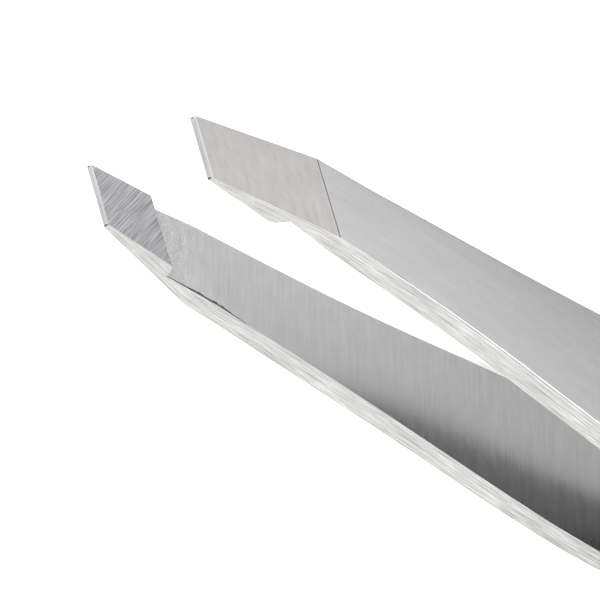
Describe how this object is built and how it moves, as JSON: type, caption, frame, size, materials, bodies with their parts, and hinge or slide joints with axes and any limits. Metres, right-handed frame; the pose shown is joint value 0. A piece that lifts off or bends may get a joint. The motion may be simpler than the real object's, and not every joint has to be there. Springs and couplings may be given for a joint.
{
  "type": "slant tweezers",
  "caption": "Two sprung steel strips welded at the heel, each ending in a slanted jaw with a flat pad inside and a ground bevel outside.",
  "frame": {"origin": "under the middle of the overall box, on the surface that the tweezers lie on", "axes": "+X from the heel to the tips, +Y the way in which the left arm opens, +Z across the width of the strips, up from the surface that they lie on"},
  "size_m": [0.095, 0.0122, 0.0097],
  "materials": {
    "strip_steel": "satin brushed stainless steel, crosswise grain on the inner faces, lengthwise on the outer",
    "weld_steel": "fused stainless steel, hidden inside the heel"
  },
  "bodies": {
    "heel": {"left_tail": "strip_steel", "right_tail": "strip_steel", "spot_welds": "weld_steel"},
    "left_arm": {"left_arm": "strip_steel"},
    "right_arm": {"right_arm": "strip_steel"}
  },
  "joints": [
    {"name": "left_flexure", "type": "hinge", "parent": "heel", "child": "left_arm", "pos_m": [-0.02995, 0.00077, 0.00485], "axis": [0, 0, -1], "range_deg": [0, 2.77], "stiffness_Nm_per_rad": 5},
    {"name": "right_flexure", "type": "hinge", "parent": "heel", "child": "right_arm", "pos_m": [-0.02995, -0.00077, 0.00485], "axis": [0, 0, 1], "range_deg": [0, 2.77], "stiffness_Nm_per_rad": 5}
  ]
}
